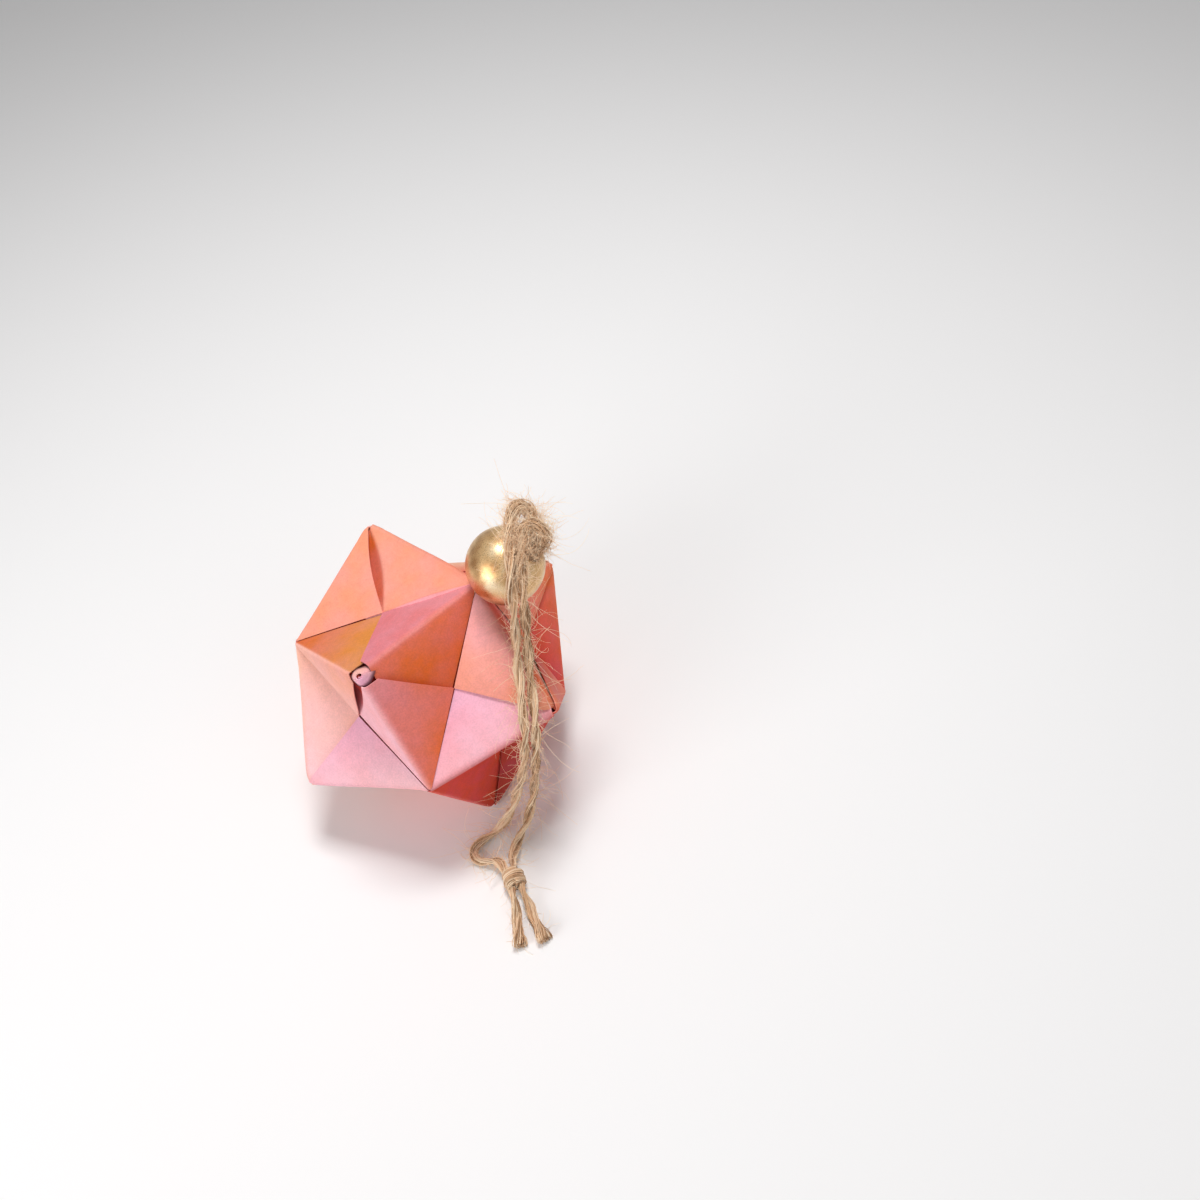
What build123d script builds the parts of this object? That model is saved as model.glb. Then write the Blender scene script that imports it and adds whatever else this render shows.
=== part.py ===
"""Modular paper ball ornament: twelve folded sheets, a wooden bead and a loop of twine.

Lengths are in millimetres and +Z is up. The origin is on the table, straight under the ball's centre.

The ball hides an octahedron. Each of its twelve edges is the valley fold of one unit, and a three-sided
pyramid stands on each of its eight faces. The ball's own X, Y and Z run through the six vertices where
four units meet. The eight apexes, where three units meet, are the corners of a cube. The three faces of
a pyramid are square to each other at its apex, so every ridge is a right angle.

A unit is one square sheet, folded to a rhomb with a valley along its long diagonal, two tabs and two
pockets. On each face, from the inside out, lie the unit's base, its neighbour's tab and the unit's own
door, the quarter that keeps the tab in its pocket.
"""

import math
import os

from build123d import *

# Sheets
sheet_side = 75.0
door_thickness = 0.2
tab_thickness = 0.5
base_thickness = 0.5
slip = 0.1
ridge_radius = 0.5
valley_wall = 0.2
valley_play = 0.15
seam_gap = 0.15
corner_cut = 1.5
apex_hole = 2.0
vertex_hole = 1.8

# The apex that has come open, and the doors whose free edges bow back from their seams: for each, the
# vertices at the left and the right of its face and the depth of the bow
open_apex = Vector(1, 1, 1)
open_apex_hole = 3.6
bowed_doors = [
    (Vector(0, 1, 0), Vector(1, 0, 0), 0.6),
    (Vector(0, 1, 0), Vector(0, 0, 1), 0.4),
]

# Place of the ball on the table: the heading of its Z axis, and how far its blunt tips let it down
ball_heading = -107.0
tip_wear = 0.3

# Bead
bead_diameter = 13.4
bead_bore = 4.0
bead_lip = 0.35
bead_lean = 25.6
bead_turn = 9.7
bead_seat_gap = 0.15

# Twine
twine_diameter = 1.8
strand_spacing = 1.9
twine_hole = 3.9
inner_bend = 2.7
knot_length = 4.2
knot_diameter = 4.8
knot_face = 3.9
inner_knot_gap = 0.3
straight_out = 1.8
straight_in = 1.6
tail_overlap = 0.5

# Twine routes between the bead's mouth and the end knot, points chosen by hand
left_route = [
    (23.8, -6.4, 57.9),
    (24.4, -4.6, 58.2),
    (23.2, -2.7, 59.4),
    (21.5, -1.7, 60.4),
    (19.6, -2.5, 60.6),
    (18.4, -4.5, 60.0),
    (17.2, -7.7, 59.0),
    (16.2, -10.4, 57.7),
    (15.2, -12.9, 54.3),
    (14.5, -14.5, 49.5),
    (13.9, -15.0, 43.5),
    (12.6, -18.5, 38.4),
    (10.8, -25.3, 32.4),
    (9.2, -25.6, 22.5),
    (7.2, -24.2, 12.8),
    (4.6, -24.1, 5.0),
    (1.4, -24.6, 1.6),
    (-0.9, -24.8, 1.1),
    (-2.6, -25.4, 1.0),
    (-3.9, -26.3, 1.0),
    (-4.3, -27.9, 1.0),
    (-3.5, -29.3, 1.1),
    (-1.9, -29.9, 1.4),
    (-0.6, -30.4, 1.9),
]
right_route = [
    (23.0, -9.1, 57.8),
    (23.9, -8.0, 59.4),
    (22.9, -6.5, 60.9),
    (20.7, -6.4, 61.1),
    (19.4, -7.3, 60.1),
    (18.5, -9.4, 58.0),
    (17.3, -12.4, 55.2),
    (16.5, -14.3, 50.6),
    (15.9, -14.9, 44.2),
    (14.6, -18.2, 38.5),
    (12.7, -25.3, 32.1),
    (11.2, -25.6, 22.2),
    (9.9, -24.9, 11.5),
    (7.6, -25.8, 4.2),
    (4.9, -27.5, 1.4),
    (3.2, -29.6, 1.6),
]
end_knot_at = Vector(1.3, -35.6, 2.4)
left_tail = [(0.1, -41.1, 1.2), (-0.8, -43.9, 1.0), (-1.2, -47.3, 1.0)]
right_tail = [(2.6, -40.7, 1.2), (2.5, -44.1, 1.0), (3.4, -47.9, 1.0)]

# Sizes that follow
fold_length = sheet_side / 2
ridge_length = fold_length / math.sqrt(2)
vertex_distance = fold_length / math.sqrt(2)
apex_offset = fold_length * math.sqrt(2) / 3
rest_height = fold_length * math.sqrt(0.4) - tip_wear
bead_radius = bead_diameter / 2
strand_radius = twine_diameter / 2

# Depths of the three sheets under a face's outer skin
door_skins = (0, door_thickness)
tab_skins = (door_thickness + slip, door_thickness + slip + tab_thickness)
base_skins = (tab_skins[1] + slip, tab_skins[1] + slip + base_thickness)
wall_skins = (0, base_skins[1])

# Where a face's sheets start beside its left ridge, stop short of a vertex and stop short of the seam
ridge_side = tab_skins[0]
blunt_corner = ridge_length - corner_cut
seam_back = seam_gap / math.sqrt(2)

os.makedirs("parts", exist_ok=True)

# The ball lies on one triangle of its hull: its X axis rises steeply and its Z axis is level
heading = math.radians(ball_heading)
level_axis = Vector(math.cos(heading), math.sin(heading), 0)
across = Vector(0, 0, 1).cross(level_axis)
steep_axis = (across + Vector(0, 0, 2)) / math.sqrt(5)
ball = Plane(origin=(0, 0, rest_height), x_dir=steep_axis, z_dir=level_axis)


def face_plane(left, right):
    """Plane of the pyramid face between two vertices, seen from outside with the apex at the top.

    The origin is the apex, X runs down the ridge to the left vertex and Y to the right one.
    """
    apex = (left + right + left.cross(right)) * apex_offset
    left_ridge = left * vertex_distance - apex
    right_ridge = right * vertex_distance - apex
    return Plane(origin=apex, x_dir=left_ridge, z_dir=left_ridge.cross(right_ridge))


def reach(depth):
    """X + Y of a face's valley line: deeper skins reach further, because the valley folds meet in mitres."""
    return ridge_length + depth / 2


def placed(plane):
    """The same plane, moved from the ball's own frame to the table's."""
    return Plane(
        origin=ball.from_local_coords(plane.origin),
        x_dir=ball.from_local_coords(plane.x_dir) - ball.origin,
        z_dir=ball.from_local_coords(plane.z_dir) - ball.origin,
    )


def base_outline(depth):
    """The whole face, short of the right ridge by the neighbour's own stack of sheets."""
    right_side = base_skins[1] + slip
    return [
        (right_side, ridge_side),
        (blunt_corner, ridge_side),
        (blunt_corner, reach(depth) - blunt_corner),
        (reach(depth) - blunt_corner, blunt_corner),
        (right_side, blunt_corner),
    ]


def door_outline(depth):
    """The left quarter of the face, from the ridge to the seam down the middle."""
    return [
        (ridge_side + 2 * seam_back, ridge_side),
        (reach(depth) - ridge_side, ridge_side),
        (reach(depth) / 2 + seam_back, reach(depth) / 2 - seam_back),
    ]


def wall_outline(depth):
    """The folded edge that closes the pocket along the valley."""
    inward = valley_wall / math.sqrt(2)
    return [
        (blunt_corner, reach(depth) - blunt_corner),
        (reach(depth) / 2 + seam_back, reach(depth) / 2 - seam_back),
        (reach(depth) / 2 + seam_back - inward, reach(depth) / 2 - seam_back - inward),
        (blunt_corner, reach(depth) - blunt_corner - 2 * inward),
    ]


def tab_outline(depth):
    """The tab over the next face, from the ridge that it wraps to just short of that face's other folds."""
    left_side = tab_skins[1] + slip
    valley_side = reach(depth) - math.sqrt(2) * (valley_wall + valley_play)
    return [(0, left_side), (0, valley_side), (valley_side - left_side, left_side)]


def sharpness(points):
    """Fillet radii for a route: as large as the two runs at each point allow."""
    radii = []
    for before, here, after in zip(points, points[1:], points[2:]):
        run_in = Vector(here) - Vector(before)
        run_out = Vector(after) - Vector(here)
        turn = math.radians(run_in.get_angle(run_out))
        radii.append(0.45 * min(run_in.length, run_out.length) / math.tan(turn / 2))
    return radii


# One folded sheet in the ball's own frame, between the vertices on X and Y
with BuildPart() as folded_sheet:
    own_ends = ((Vector(1, 0, 0), Vector(0, 1, 0)), (Vector(0, 1, 0), Vector(1, 0, 0)))
    for left, right in own_ends:
        own_face = face_plane(left, right)
        next_face = face_plane(left.cross(right), left)
        panels = [
            (own_face, base_outline, base_skins),
            (own_face, door_outline, door_skins),
            (own_face, wall_outline, wall_skins),
            (next_face, tab_outline, tab_skins),
        ]
        for face, outline, skins in panels:
            for depth in skins:
                with BuildSketch(face.offset(-depth)):
                    with BuildLine():
                        Polyline(*outline(depth), close=True)
                    make_face()
            loft(ruled=True)

    # Small holes where the corners meet
    for left, right in own_ends:
        apex_direction = left + right + left.cross(right)
        for direction, diameter in ((apex_direction, apex_hole), (left, vertex_hole)):
            with BuildSketch(Plane(origin=(0, 0, 0), z_dir=direction)):
                Circle(diameter / 2)
            extrude(amount=fold_length, mode=Mode.SUBTRACT)

    # Softly rounded ridge folds
    for left, right in own_ends:
        own_face = face_plane(left, right)
        ridge = [
            edge
            for edge in folded_sheet.edges().filter_by(GeomType.LINE)
            if (own_face.to_local_coords(edge.center()) - Vector(0, ridge_side, 0))
            .cross(Vector(1, 0, 0))
            .length
            < 0.001
        ]
        fillet(ridge, ridge_radius)

# Twelve units, one for each edge of the hidden octahedron
directions = [Vector(1, 0, 0), Vector(0, 1, 0), Vector(0, 0, 1)]
directions += [Vector(-1, 0, 0), Vector(0, -1, 0), Vector(0, 0, -1)]
top_vertex = directions[0]
fold_ends = [
    (first, second)
    for index, first in enumerate(directions)
    for second in directions[index + 1 :]
    if first.dot(second) == 0
]
for number, (first, second) in enumerate(fold_ends, start=1):
    unit_x = ball.from_local_coords(first) - ball.origin
    unit_z = ball.from_local_coords(first.cross(second)) - ball.origin
    unit_plane = Plane(origin=ball.origin, x_dir=unit_x, z_dir=unit_z)
    with BuildPart(unit_plane) as paper_unit:
        add(folded_sheet.part)
        # The twine's way in, on the units that reach the top
        if -top_vertex not in (first, second):
            with BuildSketch(Plane(origin=ball.origin, z_dir=steep_axis)):
                Circle(twine_hole / 2)
            extrude(amount=fold_length, mode=Mode.SUBTRACT)
        # The wide hole of the open apex, on the three units that meet there
        if min(first.dot(open_apex), second.dot(open_apex)) > 0:
            with BuildSketch(placed(Plane(origin=(0, 0, 0), z_dir=open_apex))):
                Circle(open_apex_hole / 2)
            extrude(amount=fold_length, mode=Mode.SUBTRACT)
        # The lens that a bowed door leaves open along its seam
        for left, right, bow in bowed_doors:
            if (left, right) in ((first, second), (second, first)):
                with BuildSketch(placed(face_plane(left, right))):
                    with BuildLine():
                        seam_end = ridge_length / 2
                        bowed = seam_end / 2 + bow / math.sqrt(2)
                        Line((0, 0), (seam_end, seam_end))
                        ThreePointArc((seam_end, seam_end), (bowed, seam_end - bowed), (0, 0))
                    make_face()
                extrude(amount=-(door_thickness + slip / 2), mode=Mode.SUBTRACT)
    paper_unit.part.label = f"paper_unit_{number:02d}"
    export_step(paper_unit.part, f"parts/paper_unit_{number:02d}.step")

# Where the bead leans against the top vertex, with its bore towards it
lean = math.radians(bead_lean)
turn = math.radians(bead_turn)
lean_direction = Vector(math.cos(lean), -math.sin(lean) * math.cos(turn), math.sin(lean) * math.sin(turn))
top = ball.from_local_coords(top_vertex * vertex_distance)
bead_axis = ball.from_local_coords(lean_direction) - ball.origin
bead_seat = math.sqrt(bead_radius**2 - (bead_bore / 2) ** 2) + bead_seat_gap
bead_centre = top + bead_axis * bead_seat
mouth = bead_centre + bead_axis * bead_radius

with BuildPart(Plane(origin=bead_centre, z_dir=bead_axis)) as bead:
    Sphere(bead_radius)
    Hole(bead_bore / 2)
    fillet(bead.edges().filter_by(GeomType.CIRCLE), bead_lip)
bead.part.label = "bead"
export_step(bead.part, "parts/bead.step")

# A tight knot in the doubled twine, round its own Z, with flat ends where the strands go in
with BuildPart() as knot:
    with BuildSketch(Plane.XZ):
        with BuildLine():
            knot_end = knot_length / 2
            Line((0, -knot_end), (knot_face / 2, -knot_end))
            ThreePointArc((knot_face / 2, -knot_end), (knot_diameter / 2, 0), (knot_face / 2, knot_end))
            Line((knot_face / 2, knot_end), (0, knot_end))
            Line((0, knot_end), (0, -knot_end))
        make_face()
    revolve(axis=Axis.Z)

# The doubled twine through the bead and the top vertex, with the knot that holds it inside the ball
strand_side = bead_axis.cross(steep_axis).normalized() * (strand_spacing / 2)
vertex_slope = math.sqrt(5) / 3
inner_knot_face = (base_skins[1] + inner_knot_gap + knot_face / 2 * vertex_slope) * 3 / 2
inner_knot_at = top - steep_axis * (inner_knot_face + knot_length / 2)
with BuildPart() as inner_twine:
    with Locations(Plane(origin=inner_knot_at, z_dir=steep_axis)):
        add(knot.part)
    for side in (strand_side, -strand_side):
        inner_points = [mouth + side, top + side, top + side - steep_axis * inner_knot_face]
        with BuildLine() as inner_path:
            FilletPolyline(*inner_points, radius=inner_bend)
        with BuildSketch(Plane(origin=inner_points[0], z_dir=bead_axis)):
            Circle(strand_radius)
        sweep(path=inner_path.wire())
inner_twine.part.label = "inner_twine"
export_step(inner_twine.part, "parts/inner_twine.step")

# The two free strands, from the bead's mouth to the end knot
entry = end_knot_at + Vector(0, knot_length / 2, 0)
for name, side, knot_side, route in (
    ("left_strand", -strand_side, -strand_spacing / 2, left_route),
    ("right_strand", strand_side, strand_spacing / 2, right_route),
):
    start = mouth + side
    end = entry + Vector(knot_side, 0, 0)
    points = [start, start + bead_axis * straight_out, *map(Vector, route)]
    points += [end + Vector(0, straight_in, 0), end]
    radii = sharpness(points)
    with BuildPart() as strand:
        with BuildLine() as strand_path:
            FilletPolyline(*points, radius=radii)
        with BuildSketch(Plane(origin=start, z_dir=bead_axis)):
            Circle(strand_radius)
        sweep(path=strand_path.wire())
    strand.part.label = name
    export_step(strand.part, f"parts/{name}.step")
    length = strand_path.wire().length
    print(name, "length", round(length, 1), "radii", [round(radius, 1) for radius in radii])
    print(name, "volume over section times length", strand.part.volume / (math.pi * strand_radius**2 * length))

# The end knot on the table, with the twine's two cut tails
with BuildPart() as end_knot:
    with Locations(Plane(origin=end_knot_at, z_dir=(0, 1, 0))):
        add(knot.part)
    for knot_side, tail in ((-strand_spacing / 2, left_tail), (strand_spacing / 2, right_tail)):
        tail_start = end_knot_at + Vector(knot_side, tail_overlap - knot_length / 2, 0)
        points = [tail_start, tail_start - Vector(0, straight_in + tail_overlap, 0), *map(Vector, tail)]
        with BuildLine() as tail_path:
            FilletPolyline(*points, radius=sharpness(points))
        with BuildSketch(Plane(origin=tail_start, z_dir=(0, -1, 0))):
            Circle(strand_radius)
        sweep(path=tail_path.wire())
end_knot.part.label = "end_knot"
export_step(end_knot.part, "parts/end_knot.step")
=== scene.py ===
"""Looks of a modular paper ball ornament: folded dyed paper, a gilt bead and jute twine on a pale table.

Sizes are in millimetres until a mesh is finished. A finished mesh is in metres, in the frame's own axes.
"""

from __future__ import annotations

import logging
import math
import random
from dataclasses import dataclass, field
from enum import Enum

import bmesh
import bpy
from mathutils import Matrix, Quaternion, Vector, noise

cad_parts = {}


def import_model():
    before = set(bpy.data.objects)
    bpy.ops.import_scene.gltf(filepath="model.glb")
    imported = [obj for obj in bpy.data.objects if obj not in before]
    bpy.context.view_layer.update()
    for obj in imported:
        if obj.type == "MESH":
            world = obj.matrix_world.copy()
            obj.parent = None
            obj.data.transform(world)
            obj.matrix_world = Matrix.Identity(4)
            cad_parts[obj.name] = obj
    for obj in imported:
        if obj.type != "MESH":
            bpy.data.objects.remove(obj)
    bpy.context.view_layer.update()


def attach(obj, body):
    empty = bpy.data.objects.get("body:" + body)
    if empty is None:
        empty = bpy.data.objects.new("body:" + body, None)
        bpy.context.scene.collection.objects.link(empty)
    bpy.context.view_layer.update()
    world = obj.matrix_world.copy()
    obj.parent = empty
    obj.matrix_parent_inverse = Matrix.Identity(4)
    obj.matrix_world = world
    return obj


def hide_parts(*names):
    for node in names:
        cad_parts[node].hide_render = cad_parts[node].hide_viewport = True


log = logging.getLogger("paper_ball")

MM = 0.001
LINE_STEP = 0.45 * MM
UP = Vector((0, 0, 1))
# Nearly all of a noise texture's values lie in this range
NOISE_RANGE = {"From_Min": 0.36, "From_Max": 0.64}


def linear(hex_colour: str) -> tuple[float, float, float, float]:
    """Turn an sRGB hex colour into Blender's linear colour.

    Args:
        hex_colour: six hex digits after a hash.

    Returns:
        Red, green, blue and an alpha of one.
    """
    channels = [int(hex_colour[start : start + 2], 16) / 255 for start in (1, 3, 5)]
    red, green, blue = (c / 12.92 if c <= 0.04045 else ((c + 0.055) / 1.055) ** 2.4 for c in channels)
    return red, green, blue, 1.0


def mix(first: tuple, second: tuple, share: float) -> tuple:
    """Blend two colours: share 0 gives the first and share 1 the second."""
    return tuple(a + (b - a) * share for a, b in zip(first, second))


def smooth_step(value: float) -> float:
    """Ease from 0 to 1 as the value goes from 0 to 1."""
    value = min(1.0, max(0.0, value))
    return value * value * (3 - 2 * value)


def dome(*weights: float) -> float:
    """Height over a triangle, from its three weights: 1 in the middle and 0 along the sides."""
    return math.prod(3 * max(0.0, weight) for weight in weights)


def per_metre(millimetres: float) -> float:
    """Give a pattern's scale on Object coordinates for a feature of that size."""
    return 1 / (millimetres * MM)


def set_inputs(
    tree: bpy.types.NodeTree, node: bpy.types.Node, **inputs: float | tuple | Vector | bpy.types.NodeSocket
) -> None:
    """Give a node's input sockets their values and links.

    Args:
        tree: the node's tree.
        node: the node.
        inputs: each a value or another node's output, by the socket's name with underscores for spaces, or
            by i and the socket's number where several share a name.
    """
    for name, value in inputs.items():
        by_number = name[0] == "i" and name[1:].isdigit()
        socket = node.inputs[int(name[1:]) if by_number else name.replace("_", " ")]
        if isinstance(value, bpy.types.NodeSocket):
            tree.links.new(value, socket)
        else:
            socket.default_value = value


def add_node(
    tree: bpy.types.NodeTree,
    kind: str,
    settings: dict | None = None,
    out: int | str = 0,
    stops: tuple[tuple[float, str], ...] = (),
    **inputs: float | tuple | Vector | bpy.types.NodeSocket,
) -> bpy.types.NodeSocket:
    """Add one shader node.

    Args:
        tree: the material's or world's node tree.
        kind: the node's type name, without its ShaderNode prefix.
        settings: attributes of the node itself.
        out: the output to give, by number or name.
        stops: pairs of position and hex colour, in order, for a node with a colour ramp.
        inputs: its input sockets, as for set_inputs.

    Returns:
        One of the node's outputs.
    """
    node = tree.nodes.new(f"ShaderNode{kind}")
    for name, value in (settings or {}).items():
        setattr(node, name, value)
    if stops:
        elements = node.color_ramp.elements
        while len(elements) < len(stops):
            elements.new(0.5)
        for element, (position, hex_colour) in zip(elements, stops):
            element.position, element.color = position, linear(hex_colour)
    set_inputs(tree, node, **inputs)
    return node.outputs[out]


def new_material(name: str) -> tuple[bpy.types.Material, bpy.types.NodeTree, bpy.types.Node]:
    """Start a node material with one Principled shader.

    Args:
        name: the material's name.

    Returns:
        The material, its tree and the shader.
    """
    material = bpy.data.materials.new(name)
    material.use_nodes = True
    tree = material.node_tree
    return material, tree, tree.nodes["Principled BSDF"]


def add_part(whole: bmesh.types.BMesh, part: bmesh.types.BMesh) -> None:
    """Add one mesh to another.

    Args:
        whole: the mesh that grows.
        part: the mesh to add, which is freed.
    """
    piece = bpy.data.meshes.new("part")
    part.to_mesh(piece)
    part.free()
    whole.from_mesh(piece)
    bpy.data.meshes.remove(piece)


def grow_rim(
    sheet: bmesh.types.BMesh, rim: list[bmesh.types.BMEdge]
) -> tuple[list[bmesh.types.BMEdge], list[bmesh.types.BMVert]]:
    """Extrude the rim of a sheet, without a move yet.

    Args:
        sheet: the sheet.
        rim: the edges to extrude.

    Returns:
        The new rim's edges and its vertices.
    """
    grown = bmesh.ops.extrude_edge_only(sheet, edges=rim)["geom"]
    verts = [part for part in grown if isinstance(part, bmesh.types.BMVert)]
    edges = [part for part in grown if isinstance(part, bmesh.types.BMEdge)]
    edges = [edge for edge in edges if len(edge.link_faces) == 1 and all(v in verts for v in edge.verts)]
    return edges, verts


def link_piece(name: str, shape: bmesh.types.BMesh, material: bpy.types.Material) -> bpy.types.Object:
    """Make a shape an object, smoothly shaded.

    Args:
        name: the name of the object and of its mesh.
        shape: the shape in metres, which is freed.
        material: its finish.

    Returns:
        The linked object.
    """
    for face in shape.faces:
        face.smooth = True
    mesh = bpy.data.meshes.new(name)
    shape.to_mesh(mesh)
    shape.free()
    mesh.materials.append(material)
    piece = bpy.data.objects.new(name, mesh)
    bpy.context.scene.collection.objects.link(piece)
    return piece


class Shade(Enum):
    """The dyes that run into each other on the sheets, and last a painted shadow and a painted highlight."""

    PEACH = "#F8C4A6"
    PETAL = "#FCC8CD"
    SHELL = "#F7B5A6"
    BLUSH = "#F8B4BC"
    LILAC = "#F0ACC4"
    ROSE = "#E6888D"
    SALMON = "#F29A80"
    CORAL = "#EC7350"
    AMBER = "#DE8D4B"
    RUST = "#DC602F"
    BRICK = "#DC2E12"
    MAUVE = "#DD7C86"
    CLARET = "#B8160A"
    # A painted shadow, for the gap round a rolled-up corner
    PAINTED_SHADOW = "#5A0A0E"
    # A painted highlight, for the ridges
    RIDGE_HIGHLIGHT = "#FFE9E0"


@dataclass(frozen=True)
class DyedPaper:
    """Handmade cotton paper, dyed by hand on both sides.

    To the eye it is matt and soft: clouds of warmer and cooler dye, a mottle where the pulp drank unevenly,
    short fibres and a rare speck of bark. Real fibres are about 0.02 mm wide, too fine to show, so they are
    drawn 0.3 mm wide.
    """

    cloud_mm: float = 7.0
    mottle_mm: float = 1.2
    fibre_mm: float = 0.3
    speck_mm: float = 2.4
    bark: str = "#8A4A3C"
    roughness: float = 0.86
    grain_depth_mm: float = 0.05

    def material(self) -> bpy.types.Material:
        """Make the sheet's material: the painted dye, clouded and mottled, with a felt-like grain.

        Returns:
            The material.
        """
        material, tree, shader = new_material("hand_dyed_cotton_paper")
        place = add_node(tree, "TexCoord", out="Object")
        # The dye attribute holds the sheets' dye and also painted light: painted shadows in gaping seams and
        # round a rolled-up corner, and a painted highlight along the ridges
        dye = add_node(tree, "Attribute", {"attribute_name": "dye"})
        cloud, mottle, fibre = (
            add_node(tree, "TexNoise", Vector=place, Scale=per_metre(size), Detail=detail)
            for size, detail in ((self.cloud_mm, 3.0), (self.mottle_mm, 4.0), (self.fibre_mm, 3.0))
        )
        warmer = add_node(tree, "HueSaturation", Hue=0.505, Saturation=1.05, Value=1.0, Color=dye)
        cooler = add_node(tree, "HueSaturation", Hue=0.494, Saturation=0.94, Value=1.0, Color=dye)
        clouds = add_node(tree, "MapRange", Value=cloud, **NOISE_RANGE)
        clouded = add_node(tree, "Mix", {"data_type": "RGBA"}, out=2, Factor=clouds, i6=cooler, i7=warmer)
        # Small lights and darks where the fibres took the dye unevenly
        mottling = add_node(tree, "MapRange", Value=mottle, To_Min=0.965, To_Max=1.03, **NOISE_RANGE)
        graining = add_node(tree, "MapRange", Value=fibre, To_Min=0.95, To_Max=1.045, **NOISE_RANGE)
        value = add_node(tree, "Math", {"operation": "MULTIPLY"}, i0=mottling, i1=graining)
        toned = add_node(tree, "HueSaturation", Value=value, Color=clouded)
        # Rare brown specks of bark in the pulp
        specks = add_node(tree, "TexVoronoi", Vector=place, Scale=per_metre(self.speck_mm))
        near = add_node(
            tree, "MapRange", Value=specks, From_Min=0.03, From_Max=0.075, To_Min=0.35, To_Max=0.0
        )
        few = add_node(tree, "Math", {"operation": "GREATER_THAN"}, i0=specks.node.outputs["Color"], i1=0.88)
        speck = add_node(tree, "Math", {"operation": "MULTIPLY"}, i0=near, i1=few)
        bark = linear(self.bark)
        speckled = add_node(tree, "Mix", {"data_type": "RGBA"}, out=2, Factor=speck, i6=toned, i7=bark)
        height = add_node(tree, "Math", {"operation": "ADD"}, i0=fibre, i1=mottle)
        bump = add_node(tree, "Bump", Height=height, Strength=0.35, Distance=self.grain_depth_mm * MM)
        set_inputs(
            tree, shader, Base_Color=speckled, Normal=bump, Roughness=self.roughness,
            Specular_IOR_Level=0.25, Sheen_Weight=0.12, Sheen_Roughness=0.6,
        )
        return material


@dataclass(frozen=True)
class RawPaperEdge:
    """The cut edge of the same paper: a paler, rougher line, because the dye stays near the sheet's faces."""

    lighter: float = 1.12
    roughness: float = 0.95

    def material(self) -> bpy.types.Material:
        """Make the edge's material from the sheet's own dye, a little paler.

        Returns:
            The material.
        """
        material, tree, shader = new_material("raw_paper_edge")
        # The dye attribute includes the sheets' painted shadows and highlights
        dye = add_node(tree, "Attribute", {"attribute_name": "dye"})
        paler = add_node(tree, "HueSaturation", Saturation=0.86, Value=self.lighter, Color=dye)
        set_inputs(tree, shader, Base_Color=paler, Roughness=self.roughness, Specular_IOR_Level=0.2)
        return material


@dataclass(frozen=True)
class GiltWood:
    """Turned wood under metallic gold paint.

    To the eye it is a satin gold that is finely speckled, darker and paler where the paint is thick and thin,
    with a few lathe lines under it. Real flakes are about 0.03 mm wide, too fine to show, so they are drawn
    0.16 mm wide.
    """

    gold: str = "#DDB785"
    shadow_gold: str = "#B4875A"
    worn_gold: str = "#EFDCBA"
    flake_mm: float = 0.16
    wear_mm: float = 3.2
    line_mm: float = 1.1
    bump_mm: float = 0.04
    roughness: float = 0.3

    def material(self, axis: Vector, centre: Vector) -> bpy.types.Material:
        """Make the gilt finish, with its lathe lines round the bore.

        Args:
            axis: the bore's direction.
            centre: the bead's centre, in metres.

        Returns:
            The material.
        """
        material, tree, shader = new_material("gilt_turned_wood")
        place = add_node(tree, "TexCoord", out="Object")
        turn = UP.rotation_difference(axis).inverted().to_euler()
        local = add_node(
            tree, "Mapping", {"vector_type": "TEXTURE"}, Vector=place, Location=centre, Rotation=tuple(turn)
        )
        flake = add_node(tree, "TexNoise", Vector=place, Scale=per_metre(self.flake_mm), Detail=2.0)
        wear = add_node(tree, "TexNoise", Vector=place, Scale=per_metre(self.wear_mm), Detail=4.0)
        stops = ((0.3, self.shadow_gold), (0.52, self.gold), (0.8, self.worn_gold))
        tone = add_node(tree, "ValToRGB", stops=stops, Fac=wear)
        sparkle, rough = (
            add_node(tree, "MapRange", Value=flake, From_Min=0.3, From_Max=0.7, To_Min=low, To_Max=high)
            for low, high in ((0.86, 1.12), (self.roughness - 0.06, self.roughness + 0.14))
        )
        speckled = add_node(tree, "HueSaturation", Value=sparkle, Color=tone)
        # Lathe lines: thin rings round the bore, broken up by the paint. A wave node has 20 bands to a unit.
        rings = add_node(
            tree, "TexWave", {"wave_type": "BANDS", "bands_direction": "Z"}, out="Fac",
            Vector=local, Scale=per_metre(self.line_mm) / 20, Distortion=1.5, Detail=2.0,
        )
        height = add_node(tree, "Math", {"operation": "MULTIPLY_ADD"}, i0=rings, i1=0.35, i2=flake)
        bump = add_node(tree, "Bump", Height=height, Strength=0.22, Distance=self.bump_mm * MM)
        set_inputs(tree, shader, Base_Color=speckled, Roughness=rough, Normal=bump, Metallic=1.0)
        return material


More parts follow.
